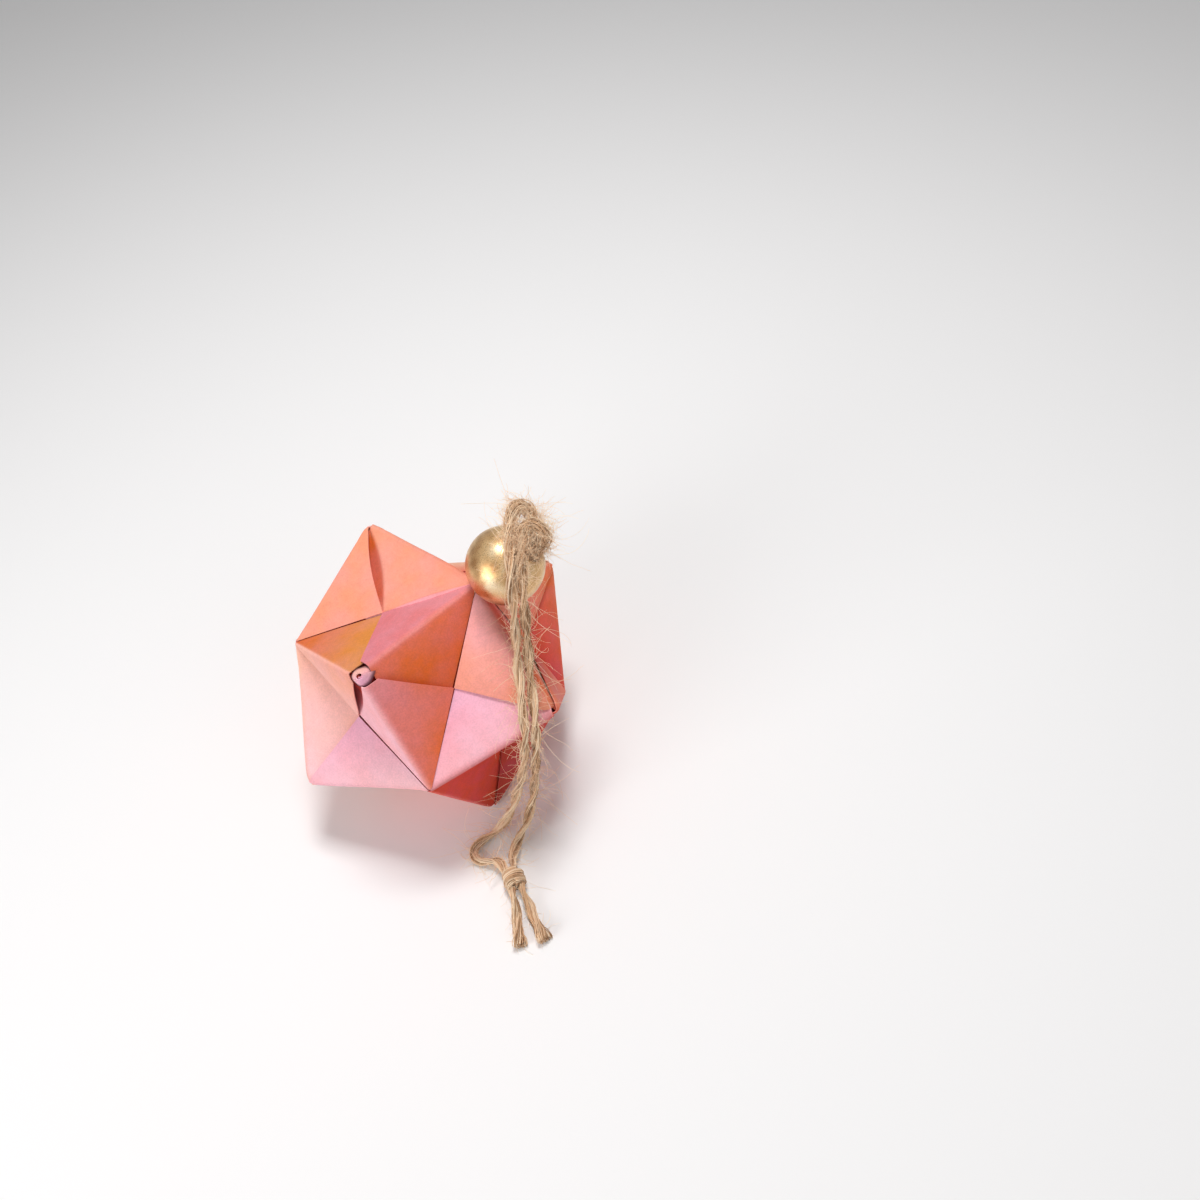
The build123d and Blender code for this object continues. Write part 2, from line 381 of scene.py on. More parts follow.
@dataclass(frozen=True)
class JuteFibre:
    """Dry spun jute.

    To the eye it is straw to tan from fibre to fibre, slightly silky along its length and matt where it is
    hairy.
    """

    pale: str = "#FBE6C8"
    straw: str = "#DFB48A"
    tan: str = "#8F6440"
    patch_mm: float = 1.2
    roughness: float = 0.72

    def material(self, name: str, lighter: float = 1.0) -> bpy.types.Material:
        """Make the fibre's material.

        Args:
            name: the material's name.
            lighter: a factor on its brightness.

        Returns:
            The material.
        """
        material, tree, shader = new_material(name)
        place = add_node(tree, "TexCoord", out="Object")
        tint = add_node(tree, "Attribute", {"attribute_name": "tint"}, out="Fac")
        patches = add_node(tree, "TexNoise", Vector=place, Scale=per_metre(self.patch_mm), Detail=3.0)
        both = add_node(tree, "Math", {"operation": "MULTIPLY_ADD"}, i0=patches, i1=0.5, i2=tint)
        shade = add_node(tree, "MapRange", Value=both, From_Min=0.2, From_Max=1.25)
        colour = add_node(
            tree, "ValToRGB", stops=((0.0, self.tan), (0.45, self.straw), (1.0, self.pale)), Fac=shade
        )
        toned = add_node(tree, "HueSaturation", Value=lighter, Color=colour)
        set_inputs(
            tree, shader, Base_Color=toned, Roughness=self.roughness,
            Specular_IOR_Level=0.3, Sheen_Weight=0.25,
        )
        return material


@dataclass(frozen=True)
class PaleTable:
    """A painted board under the ornament: smooth, matt, nearly white."""

    colour: str = "#F8F7F7"
    roughness: float = 0.7

    def material(self) -> bpy.types.Material:
        """Make the table's material.

        Returns:
            The material.
        """
        material, tree, shader = new_material("white_painted_board")
        set_inputs(
            tree, shader, Base_Color=linear(self.colour), Roughness=self.roughness, Specular_IOR_Level=0.2
        )
        return material


@dataclass(frozen=True)
class BallPose:
    """Size and place of the ball: the hidden octahedron, turned to lie on three tips."""

    sheet_side: float = 75.0
    heading: float = -107.0
    tip_wear: float = 0.3

    @property
    def fold_length(self) -> float:
        """Length of a unit's valley fold."""
        return self.sheet_side / 2

    @property
    def ridge_length(self) -> float:
        """Length of a ridge, from apex to vertex."""
        return self.fold_length / math.sqrt(2)

    @property
    def turn(self) -> Matrix:
        """Turn the ball to lie on three tips.

        Returns:
            The ball's own axes as columns, in the frame's axes.
        """
        angle = math.radians(self.heading)
        level = Vector((math.cos(angle), math.sin(angle), 0))
        steep = (UP.cross(level) + 2 * UP) / math.sqrt(5)
        return Matrix((steep, level.cross(steep), level)).transposed()

    @property
    def centre(self) -> Vector:
        """The ball's centre over the table."""
        return Vector((0, 0, self.fold_length * math.sqrt(0.4) - self.tip_wear))

    def corner(self, signs: tuple[int, int, int] | Vector) -> Vector:
        """One of the eight apexes, by its signs on the ball's own axes."""
        return self.centre + self.turn @ (Vector(signs) * (self.fold_length * math.sqrt(2) / 3))

    def apex(self, left: Vector, right: Vector) -> Vector:
        """The pyramid's apex over the fold between two vertices, seen with the left one at the left."""
        return self.corner(left + right + left.cross(right))

    def vertex(self, direction: Vector) -> Vector:
        """One of the six vertices where four units meet."""
        return self.centre + self.turn @ (direction * self.ridge_length)

    def face(self, left: Vector, right: Vector) -> Matrix:
        """Matrix from a face's own axes to the frame, in millimetres.

        The face's origin is its apex, X runs down the ridge to the left vertex, Y to the right one and Z
        points outwards.

        Args:
            left: direction of the left vertex.
            right: direction of the right vertex.

        Returns:
            A 4 by 4 matrix.
        """
        apex = self.apex(left, right)
        x_axis = (self.vertex(left) - apex).normalized()
        y_axis = (self.vertex(right) - apex).normalized()
        turn = Matrix((x_axis, y_axis, x_axis.cross(y_axis))).transposed().to_4x4()
        return Matrix.Translation(apex) @ turn


@dataclass(frozen=True)
class Seam:
    """How a door's free edge and the tab under it part along a seam.

    The door's edge lifts and bows back and the tab dips, in millimetres, over a width beside the seam and
    between two shares of its length. Where the tab dips, its dye may darken towards a given shade: a painted
    shadow in the gap.
    """

    lift: float = 0.12
    bow: float = 0.1
    dip: float = 0.12
    width: float = 2.4
    start: float = 0.0
    end: float = 1.0
    # The shade that the dipping tab darkens towards: a painted shadow
    inside: Shade | None = None

    def swell(self, along: float) -> float:
        """How far the seam is open at a share of its length, from 0 to 1."""
        share = (along - self.start) / (self.end - self.start)
        return math.sin(math.pi * share) if 0 < share < 1 else 0.0


@dataclass(frozen=True)
class Curl:
    """How the corners of the sheets roll into an apex, and how far from it they are cut away."""

    radius: float = 2.0
    depth: float = 0.6
    swirl: float = 0.5
    hole: float = 0.6


@dataclass(frozen=True)
class Dye:
    """The shades of one quarter at its apex, its vertex and its middle, where it meets the valley."""

    apex: Shade
    vertex: Shade
    middle: Shade

    def at(self, apex: float, vertex: float, middle: float) -> tuple:
        """Blend the three shades.

        Args:
            apex: the apex's weight.
            vertex: the vertex's weight.
            middle: the middle's weight. The three add up to one.

        Returns:
            The linear colour.
        """
        parts = ((self.apex, apex), (self.vertex, vertex), (self.middle, middle))
        colours = [(linear(shade.value), weight) for shade, weight in parts]
        return tuple(sum(colour[channel] * weight for colour, weight in colours) for channel in range(4))


@dataclass(frozen=True)
class Wing:
    """Half of a unit: its door, the ridge that it wraps, the tab beyond and the hem along the valley."""

    left: tuple[int, int, int]
    right: tuple[int, int, int]
    door: Dye
    tab: Dye
    ridge_radius: float = 0.7
    door_bulge: float = 0.25
    tab_bulge: float = 0.2
    hem_lift: float = 0.05
    hem_depth: float = 0.3
    hem_flare: float = 0.0
    dye_blend: float = 1.6
    hem: Shade = Shade.ROSE


@dataclass(frozen=True)
class Scroll:
    """The corner of a sheet that has rolled up inside an open apex: a short cone with a lapped edge."""

    corner: tuple[int, int, int]
    rim: float = 1.5
    eye: float = 0.24
    rim_depth: float = 3.0
    eye_depth: float = 1.7
    turns: float = 1.4
    lap: float = 0.5
    start: float = 3.6
    long_way: float = 1.18
    short_way: float = 0.9
    waviness: float = 0.12

    def build(self, pose: BallPose) -> bmesh.types.BMesh:
        """Roll the corner.

        Args:
            pose: the ball's size and place.

        Returns:
            The rolled sheet, in place.
        """
        apex = pose.corner(self.corner)
        turn = UP.rotation_difference((apex - pose.centre).normalized()).to_matrix().to_4x4()
        # Painted shading round the roll, by its angle, and a painted shadow that darkens its outer lap towards
        # the gap round it
        lit, shaded, painted_gap_shadow = (linear(shade.value) for shade in (Shade.SHELL, Shade.LILAC, Shade.PAINTED_SHADOW))
        sheet = bmesh.new()
        dye = sheet.verts.layers.float_color.new("dye")
        bmesh.ops.create_grid(sheet, x_segments=64, y_segments=8, size=0.5)
        for vert in sheet.verts:
            around, out = vert.co.x + 0.5, vert.co.y + 0.5
            angle = self.start + 2 * math.pi * self.turns * around
            radius = self.eye + (self.rim - self.eye) * out + self.lap * around
            radius *= 1 + self.waviness * math.sin(3 * angle + 0.6) * out
            depth = self.eye_depth + (self.rim_depth - self.eye_depth) * out**1.3
            # The inner end of the roll stands up a little in the eye
            depth -= 0.25 * around * (1 - out)
            x, y = self.long_way * radius * math.cos(angle), self.short_way * radius * math.sin(angle)
            vert.co = (x, y, -depth)
            shade = mix(shaded, lit, 0.5 + 0.5 * math.sin(angle))
            vert[dye] = mix(shade, painted_gap_shadow, 0.92 * smooth_step(2.4 * out - 1.3))
        bmesh.ops.recalc_face_normals(sheet, faces=sheet.faces)
        sheet.transform(Matrix.Translation(apex) @ turn)
        return sheet


@dataclass
class PaperUnit:
    """One folded sheet: two wings and the base under them."""

    pose: BallPose
    number: int
    wings: tuple[Wing, Wing]
    seams: dict[tuple, Seam]
    curls: dict[tuple, Curl]
    cuts: int = 42
    tab_depth: float = 0.3
    sheet_thickness: float = 0.17
    under_door: float = 2.6
    ridge_room: float = 0.9
    base_depth: float = 1.35
    base_inset: float = 0.7
    base_tip: float = 3.4
    base_end: float = 1.2
    base_shade: Shade = Shade.BRICK
    # A painted highlight along the ridges: how wide it is and how far it pales the dye
    ridge_highlight_width: float = 0.8
    ridge_highlight_share: float = 0.16
    wave_height: float = 0.12
    waves_per_mm: float = 0.12
    valley_gap: float = 0.09
    door_hem: tuple = ((-0.05, -0.16), (-0.12, -0.45))
    leaning: tuple = (
        ((-1, 1, 1), (-1.25, -0.1, -0.35)),
        ((1, 1, -1), (-0.95, -0.1, -0.3)),
    )
    leaning_reach: float = 23.0
    scroll: Scroll | None = None

    def build(self, paper: bpy.types.Material, edge: bpy.types.Material) -> bpy.types.Object:
        """Build the unit's sheet as one object.

        Args:
            paper: the sheet's finish.
            edge: the finish of its raw edges.

        Returns:
            The finished object.
        """
        whole = bmesh.new()
        for wing in self.wings:
            add_part(whole, self.wing(wing))
            add_part(whole, self.base(wing))
        for vert in whole.verts:
            vert.co += self.lean(vert.co)
            vert.co.z = max(vert.co.z, 0.0)
        if self.scroll:
            add_part(whole, self.scroll.build(self.pose))
        name = f"folded_sheet_{self.number:02d}"
        return finished_sheet(name, whole, self.sheet_thickness, paper, edge)

    def lean(self, place: Vector) -> Vector:
        """How far a place moves with the apexes that stand out of true.

        Args:
            place: the place, in millimetres.

        Returns:
            The move.
        """
        total = Vector((0, 0, 0))
        for corner, move in self.leaning:
            away = (place - self.pose.corner(corner)).length / self.leaning_reach
            total += Vector(move) * smooth_step(1 - away)
        return total

    def wing(self, wing: Wing) -> bmesh.types.BMesh:
        """Fold one wing: a door and a tab on either side of a rounded ridge.

        Args:
            wing: what to fold.

        Returns:
            The wing's sheet, in place.
        """
        length, side = self.pose.ridge_length, self.tab_depth
        left, right = Vector(wing.left), Vector(wing.right)
        door_seam = self.seams.get(key_of(left, right), Seam())
        tab_seam = self.seams.get(key_of(left.cross(right), left), Seam())
        sheet = bmesh.new()
        dye = sheet.verts.layers.float_color.new("dye")
        apex = sheet.verts.new((0, side, 0))
        vertex = sheet.verts.new((length, side, 0))
        door_middle = sheet.verts.new((length / 2, length / 2, 0))
        tab_middle = sheet.verts.new((length / 2, side, -length / 2))
        sheet.faces.new((apex, vertex, door_middle))
        sheet.faces.new((vertex, apex, tab_middle))
        sheet.edges.ensure_lookup_table()
        ridge = [edge for edge in sheet.edges if len(edge.link_faces) == 2]
        bmesh.ops.bevel(
            sheet, geom=ridge, offset=wing.ridge_radius, offset_type="OFFSET", segments=5,
            profile=0.5, affect="EDGES", material=-1,
        )
        long_edges = [edge for edge in sheet.edges if edge.calc_length() > length / 4]
        bmesh.ops.subdivide_edges(sheet, edges=long_edges, cuts=self.cuts, use_grid_fill=True)
        self.slide_under(sheet, wing)
        for vert in sheet.verts:
            vert[dye] = self.dye_at(wing, vert.co)
        # The tip at the apex is cut away, and what is left there rolls in
        curl = self.curls.get(apex_key(left, right), Curl())
        everything = list(sheet.verts) + list(sheet.edges) + list(sheet.faces)
        bmesh.ops.bisect_plane(
            sheet, geom=everything, plane_co=(curl.hole, 0, 0), plane_no=(1, 0, 0), clear_inner=True
        )
        on_door = {vert: vert.co.z > -vert.co.y for vert in sheet.verts}
        for vert in sheet.verts:
            if on_door[vert]:
                vert.co += self.door_move(vert.co, wing, door_seam)
            else:
                # Painted shadow: where the tab sinks into a gaping seam, its dye darkens towards the seam's
                # shade
                if tab_seam.inside:
                    depth = self.tab_dip(vert.co, tab_seam) / tab_seam.dip
                    inside = linear(tab_seam.inside.value)
                    vert[dye] = mix(vert[dye], inside, 0.9 * smooth_step(1.6 * depth))
                vert.co += self.tab_move(vert.co, wing, tab_seam)
            vert.co = self.curled(vert.co, curl)
        self.hem(sheet, wing, on_door, dye)
        sheet.transform(self.pose.face(left, right))
        return sheet

    def slide_under(self, sheet: bmesh.types.BMesh, wing: Wing) -> None:
        """Carry the tab on past its seam, under the next door.

        Args:
            sheet: the wing so far, flat on its faces.
            wing: the wing.
        """
        steps = 3
        radius = wing.ridge_radius
        rim = [
            edge for edge in sheet.edges
            if edge.is_boundary
            and all(abs(v.co.x + v.co.z) < 0.75 * radius for v in edge.verts)
            and any(v.co.z < -radius for v in edge.verts)
        ]
        for done in range(steps):
            rim, verts = grow_rim(sheet, rim)
            for vert in verts:
                room = max(0.0, vert.co.x - self.ridge_room) / (steps - done)
                step = min(self.under_door / steps, room)
                vert.co += Vector((-step, 0, -step))

    def dye_at(self, wing: Wing, place: Vector) -> tuple:
        """Colour of the dye at a place on the flat faces of a wing.

        Args:
            wing: the wing.
            place: the place, on the face's own axes.

        Returns:
            The linear colour.
        """
        length = self.pose.ridge_length
        down, across = max(place.y, 0), max(-place.z, 0)
        on_door = place.z > -0.3 * self.tab_depth or down > across
        side = down if on_door else across
        middle = min(1.0, 2 * side / length)
        apex = min(1.0, max(0.0, 1 - (place.x + side) / length))
        vertex = max(0.0, 1 - middle - apex)
        total = middle + apex + vertex
        weights = (apex / total, vertex / total, middle / total)
        own, other = (wing.door, wing.tab) if on_door else (wing.tab, wing.door)
        # The two sides of a ridge are one sheet, so their shades meet there
        blend = 0.5 + 0.5 * smooth_step(side / wing.dye_blend)
        shade = mix(other.at(*weights), own.at(*weights), blend)
        # A painted highlight: the dye pales towards each ridge
        ridge_highlight = self.ridge_highlight_share * smooth_step(1 - side / self.ridge_highlight_width)
        return mix(shade, linear(Shade.RIDGE_HIGHLIGHT.value), ridge_highlight)

    def wave(self, place: Vector, offset: Vector, crown: float) -> float:
        """Height of the soft waves in the paper, which fade out towards its sides."""
        return self.wave_height * noise.noise(place * self.waves_per_mm + offset) * min(1, crown)

    def door_move(self, place: Vector, wing: Wing, seam: Seam) -> Vector:
        """How far a point of the door moves from its flat face.

        Args:
            place: the point, on the face's own axes.
            wing: the wing.
            seam: the seam along the door's free edge.

        Returns:
            The move.
        """
        length = self.pose.ridge_length
        along, across = (place.x + place.y) / length, (place.x - place.y) / length
        from_seam = across * length / math.sqrt(2)
        open_by = seam.swell(along) * math.exp(-((from_seam / seam.width) ** 2))
        crown = dome(1 - along, across, 2 * place.y / length)
        wave = self.wave(place, Vector((self.number * 7.3, 0, 0)), crown)
        back = seam.bow * open_by / math.sqrt(2)
        return Vector((back, -back, seam.lift * open_by + wing.door_bulge * crown + wave))

    def tab_dip(self, place: Vector, seam: Seam) -> float:
        """How far a point of the tab sinks into the open seam beside it.

        Args:
            place: the point, on the face's own axes.
            seam: the seam.

        Returns:
            The depth in millimetres.
        """
        swell = seam.swell((place.x - place.z) / self.pose.ridge_length)
        from_seam = (place.x + place.z) / math.sqrt(2)
        return seam.dip * swell * smooth_step(1 - from_seam / (seam.width * swell + 0.05))

    def tab_move(self, place: Vector, wing: Wing, seam: Seam) -> Vector:
        """How far a point of the tab moves from its flat face.

        Args:
            place: the point, on the face's own axes.
            wing: the wing.
            seam: the seam along the tab.

        Returns:
            The move.
        """
        length = self.pose.ridge_length
        along, across = (place.x - place.z) / length, (place.x + place.z) / length
        crown = dome(1 - along, across, -2 * place.z / length)
        wave = self.wave(place, Vector((0, self.number * 5.1, 3.7)), crown)
        # The tab stops just short of the valley, where its folded edge stands up a little
        near_valley = smooth_step((along - 0.9) / 0.1)
        half_way = math.sin(math.pi * min(1, max(0, across)))
        short = self.valley_gap * near_valley
        sink = self.tab_dip(place, seam) - wing.tab_bulge * crown - wave
        return Vector((-short, sink - wing.hem_lift * near_valley * half_way, short))

    def curled(self, place: Vector, curl: Curl) -> Vector:
        """Roll a point near the apex inwards and round.

        Args:
            place: the point, on the face's own axes.
            curl: how the apex rolls in.

        Returns:
            The point's new place.
        """
        inward = Vector((1, 1, -1)).normalized()
        reach = (place - inward * place.dot(inward)).length
        if reach >= curl.radius:
            return place
        near = (1 - reach / curl.radius) ** 2
        return Quaternion(inward, curl.swirl * near) @ place + inward * curl.depth * near

    def hem(
        self, sheet: bmesh.types.BMesh, wing: Wing, on_door: dict[bmesh.types.BMVert, bool],
        dye: bmesh.types.BMLayerItem,
    ) -> None:
        """Turn the sheet under along the valley: a folded edge on the door and on the tab.

        Args:
            sheet: the shaped wing.
            wing: the wing.
            on_door: for each vertex, whether it is on the door.
            dye: the colour layer.
        """
        length, flare = self.pose.ridge_length, wing.hem_flare
        tab_hem = ((0.3 * flare - 0.04, -0.14), (0.7 * flare - 0.08, -wing.hem_depth))
        # For each side: its direction to the valley, its direction out, how far back the hem starts, its steps
        for door_side, ahead, out, start, steps in (
            (True, Vector((1, 1, 0)), Vector((0, 0, 1)), 0.8, self.door_hem),
            (False, Vector((1, 0, -1)), Vector((0, -1, 0)), 1.3, tab_hem),
        ):
            rim = [
                edge for edge in sheet.edges
                if edge.is_boundary
                and all(on_door.get(v, not door_side) == door_side for v in edge.verts)
                and all(v.co.dot(ahead) > length - start for v in edge.verts)
            ]
            for back, down in steps:
                rim, verts = grow_rim(sheet, rim)
                bmesh.ops.translate(sheet, verts=verts, vec=ahead * back + out * down)
                for vert in verts:
                    vert[dye] = mix(vert[dye], linear(wing.hem.value), 0.8)

    def base(self, wing: Wing) -> bmesh.types.BMesh:
        """Lay the inner layers of one face, which close the ball under the doors and tabs.

        Args:
            wing: the wing of that face.

        Returns:
            The layers' sheet, in place.
        """
        inset, tip, depth = self.base_inset, self.base_tip, self.base_depth
        far, near = self.pose.ridge_length - self.base_end, self.base_end + depth / 2
        sheet = bmesh.new()
        dye = sheet.verts.layers.float_color.new("dye")
        corners = ((tip, inset), (far, inset), (far, near), (near, far), (inset, far), (inset, tip))
        verts = [sheet.verts.new((x, y, -depth)) for x, y in corners]
        for vert in verts:
            vert[dye] = linear(self.base_shade.value)
        sheet.faces.new(verts)
        bmesh.ops.triangulate(sheet, faces=sheet.faces)
        sheet.transform(self.pose.face(Vector(wing.left), Vector(wing.right)))
        return sheet


def key_of(left: tuple | Vector, right: tuple | Vector) -> tuple:
    """Name a face by its left and right vertex."""
    return tuple(round(c) for c in left), tuple(round(c) for c in right)


def apex_key(left: Vector, right: Vector) -> tuple:
    """Name an apex by its corner of the cube."""
    return tuple(round(c) for c in left + right + left.cross(right))


def finished_sheet(
    name: str, sheet: bmesh.types.BMesh, thickness: float, paper: bpy.types.Material, edge: bpy.types.Material
) -> bpy.types.Object:
    """Give a sheet its thickness and make it an object in metres.

    Args:
        name: the object's name.
        sheet: the sheet in millimetres, which is freed.
        thickness: the paper's thickness in millimetres.
        paper: the finish of its faces.
        edge: the finish of its raw edges.

    Returns:
        The linked object.
    """
    sheet.transform(Matrix.Scale(MM, 4))
    piece = link_piece(name, sheet, paper)
    thin = piece.data
    thin.materials.append(edge)
    shell = piece.modifiers.new("thickness", "SOLIDIFY")
    shell.thickness = thickness * MM
    shell.offset = -1
    shell.material_offset_rim = 1
    graph = bpy.context.evaluated_depsgraph_get()
    solid = bpy.data.meshes.new_from_object(piece.evaluated_get(graph))
    piece.modifiers.clear()
    piece.data = solid
    solid.name = name
    bpy.data.meshes.remove(thin)
    solid.set_sharp_from_angle(angle=math.radians(50))
    return piece


class Tip(Enum):
    """The six vertices where four units meet, on the ball's own axes."""

    TOP = (1, 0, 0)
    LEFT = (0, 1, 0)
    FRONT = (0, 0, 1)
    UNDER = (-1, 0, 0)
    RIGHT = (0, -1, 0)
    BACK = (0, 0, -1)


@dataclass
class PaperBall:
    """Twelve interlocked units."""

    pose: BallPose = field(default_factory=BallPose)

    def wings(self) -> dict[tuple[Tip, Tip], Wing]:
        """Choose the dye and the softness of the wings that differ from the common ones.

        Returns:
            The wings by their left and right vertex.
        """
        s, t = Shade, Tip
        rows = (
            (t.FRONT, t.TOP, (s.ROSE, s.CORAL, s.CORAL), (s.BLUSH, s.BLUSH, s.BLUSH), {}),
            (
                t.TOP, t.FRONT, (s.SALMON, s.BLUSH, s.SALMON), (s.CORAL, s.BRICK, s.CORAL),
                {"ridge_radius": 1.9, "door_bulge": 0.9},
            ),
            (t.TOP, t.LEFT, (s.MAUVE, s.ROSE, s.MAUVE), (s.CORAL, s.CORAL, s.RUST), {}),
            (t.LEFT, t.TOP, (s.SALMON, s.SALMON, s.SALMON), (s.SALMON, s.SALMON, s.CORAL), {}),
            (t.LEFT, t.FRONT, (s.SALMON, s.SHELL, s.SHELL), (s.AMBER, s.RUST, s.AMBER), {"dye_blend": 0.6}),
            (t.FRONT, t.LEFT, (s.BLUSH, s.PETAL, s.LILAC), (s.LILAC, s.ROSE, s.BLUSH), {}),
            (t.LEFT, t.UNDER, (s.SALMON, s.PEACH, s.CORAL), (s.PETAL, s.SHELL, s.SHELL), {}),
            (
                t.TOP, t.BACK, (s.SALMON, s.CORAL, s.SALMON), (s.SALMON, s.SALMON, s.SALMON),
                {"hem_lift": 1.1, "hem_depth": 0.31, "hem_flare": 0.55, "hem": s.BLUSH},
            ),
            (t.FRONT, t.RIGHT, (s.BRICK, s.CLARET, s.BRICK), (s.BLUSH, s.BLUSH, s.LILAC), {"tab_bulge": 0.4}),
            (t.RIGHT, t.TOP, (s.CORAL, s.CORAL, s.BRICK), (s.BRICK, s.BRICK, s.CLARET), {}),
            (t.TOP, t.RIGHT, (s.CORAL, s.SALMON, s.CORAL), (s.CORAL, s.CORAL, s.BRICK), {}),
            (t.RIGHT, t.BACK, (s.SALMON, s.CORAL, s.SALMON), (s.CORAL, s.BRICK, s.BRICK), {}),
            (t.RIGHT, t.FRONT, (s.CLARET, s.BRICK, s.CLARET), (s.CORAL, s.CORAL, s.ROSE), {}),
            (t.FRONT, t.UNDER, (s.CLARET, s.BRICK, s.CLARET), (s.BRICK, s.BRICK, s.BRICK), {}),
        )
        return {
            (left, right): Wing(left.value, right.value, Dye(*door), Dye(*tab), **extra)
            for left, right, door, tab, extra in rows
        }

    def seams(self) -> dict[tuple, Seam]:
        """Open the seams that gape.

        Returns:
            The seams by the key of their face.
        """
        opened = {
            # Painted shadows in the two gaping seams: deep orange under a bowed door, dark claret in a deeper
            # slit
            (Tip.LEFT, Tip.TOP): Seam(bow=0.85, dip=0.95, width=1.7, inside=Shade.RUST),
            (Tip.LEFT, Tip.FRONT): Seam(bow=0.8, dip=1.2, width=1.5, start=-0.25, inside=Shade.CLARET),
            (Tip.FRONT, Tip.TOP): Seam(lift=0.3, bow=0.05, dip=0.1),
            (Tip.TOP, Tip.LEFT): Seam(bow=0.05, dip=0.1),
        }
        return {key_of(left.value, right.value): seam for (left, right), seam in opened.items()}

    def curls(self) -> dict[tuple, Curl]:
        """Roll in the apexes: one wide open, one tight."""
        wide = Curl(radius=3.8, depth=0.3, swirl=0.1, hole=2.85)
        return {(1, 1, 1): wide, (1, -1, 1): Curl(radius=2.2, depth=0.9, swirl=0.7, hole=0.9)}

    def units(self) -> list[PaperUnit]:
        """Lay out the twelve units, one for each edge of the hidden octahedron.

        Returns:
            The units in the order of the frame's nodes.
        """
        wings, seams, curls = self.wings(), self.seams(), self.curls()
        tips = list(Tip)
        common = [Shade.SALMON, Shade.CORAL, Shade.ROSE, Shade.BLUSH, Shade.PEACH]
        chance = random.Random(12)
        units = []
        for index, first in enumerate(tips):
            for second in tips[index + 1 :]:
                if Vector(first.value).dot(Vector(second.value)) != 0:
                    continue
                pair = []
                for left, right in ((first, second), (second, first)):
                    door, tab = (Dye(*(chance.choice(common) for _ in range(3))) for _ in range(2))
                    plain = Wing(left.value, right.value, door, tab)
                    pair.append(wings.get((left, right), plain))
                holds_scroll = (first, second) == (Tip.TOP, Tip.FRONT)
                scroll = Scroll((1, 1, 1)) if holds_scroll else None
                units.append(PaperUnit(self.pose, len(units) + 1, tuple(pair), seams, curls, scroll=scroll))
        return units

    def build(self) -> list[bpy.types.Object]:
        """Fold all twelve units and put each in the place of its node.

        Returns:
            The folded sheets.
        """
        paper, edge = DyedPaper().material(), RawPaperEdge().material()
        pieces = []
        for unit in self.units():
            piece = unit.build(paper, edge)
            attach(piece, "root")
            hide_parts(f"paper_unit_{unit.number:02d}")
            pieces.append(piece)
        return pieces


@dataclass(frozen=True)
class BeadSeat:
    """Where the bead leans on the ball's top vertex."""

    pose: BallPose
    diameter: float = 13.4
    bore: float = 4.0
    lean: float = 25.6
    turn: float = 9.7
    seat_gap: float = 0.15

    @property
    def steep(self) -> Vector:
        """Direction from the ball's centre to its top vertex."""
        return self.pose.turn @ Vector(Tip.TOP.value)

    @property
    def axis(self) -> Vector:
        """Lean the bore off the ball's steep axis.

        Returns:
            The bore's direction, away from the ball.
        """
        lean, turn = math.radians(self.lean), math.radians(self.turn)
        own = Vector((math.cos(lean), -math.sin(lean) * math.cos(turn), math.sin(lean) * math.sin(turn)))
        return self.pose.turn @ own

    @property
    def foot(self) -> Vector:
        """The ball's top vertex, where the bore starts."""
        return self.pose.vertex(Vector(Tip.TOP.value))

    @property
    def centre(self) -> Vector:
        """The bead's centre."""
        reach = math.sqrt((self.diameter / 2) ** 2 - (self.bore / 2) ** 2) + self.seat_gap
        return self.foot + self.axis * reach

    @property
    def mouth(self) -> Vector:
        """Middle of the bore's outer mouth, on the sphere."""
        return self.centre + self.axis * (self.diameter / 2)

    @property
    def side(self) -> Vector:
        """Direction from one strand in the bore to the other."""
        return self.axis.cross(self.steep).normalized()


@dataclass
class Bead:
    """The round wooden bead, turned and gilt."""

    seat: BeadSeat
    lip: float = 0.45
    lip_rise: float = 0.02
    arc_steps: int = 48
    rings: int = 96

    def build(self) -> bpy.types.Object:
        """Turn the bead's profile round its bore and gild it.

        Returns:
            The finished bead.
        """
        radius, bore = self.seat.diameter / 2, self.seat.bore / 2
        start = math.asin((bore + self.lip) / radius)
        step = (math.pi - 2 * start) / self.arc_steps
        outer = [start + step * index for index in range(self.arc_steps + 1)]
        outline = [(radius * math.sin(angle), radius * math.cos(angle)) for angle in outer]
        top = outline[0][1] + self.lip_rise
        lip = [
            (bore + self.lip * (1 - math.sin(angle)), top - self.lip * (1 - math.cos(angle)))
            for angle in (0.4, 0.9, 1.3, math.pi / 2)
        ]
        outline += [(r, -z) for r, z in lip]
        outline += [(bore, z) for z in (-3.0, -1.0, 1.0, 3.0)]
        outline += reversed(lip)
        bead = bmesh.new()
        verts = [bead.verts.new((r, 0, z)) for r, z in outline]
        edges = [bead.edges.new(pair) for pair in zip(verts, verts[1:] + verts[:1])]
        bmesh.ops.spin(
            bead, geom=verts + edges, cent=(0, 0, 0), axis=(0, 0, 1), angle=2 * math.pi,
            steps=self.rings, use_merge=True, use_duplicate=False,
        )
        bmesh.ops.remove_doubles(bead, verts=bead.verts, dist=0.0005)
        bmesh.ops.recalc_face_normals(bead, faces=bead.faces)
        turn = UP.rotation_difference(self.seat.axis).to_matrix().to_4x4()
        bead.transform(Matrix.Scale(MM, 4) @ Matrix.Translation(self.seat.centre) @ turn)
        piece = link_piece("gilt_bead", bead, GiltWood().material(self.seat.axis, self.seat.centre * MM))
        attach(piece, "root")
        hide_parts("bead")
        return piece


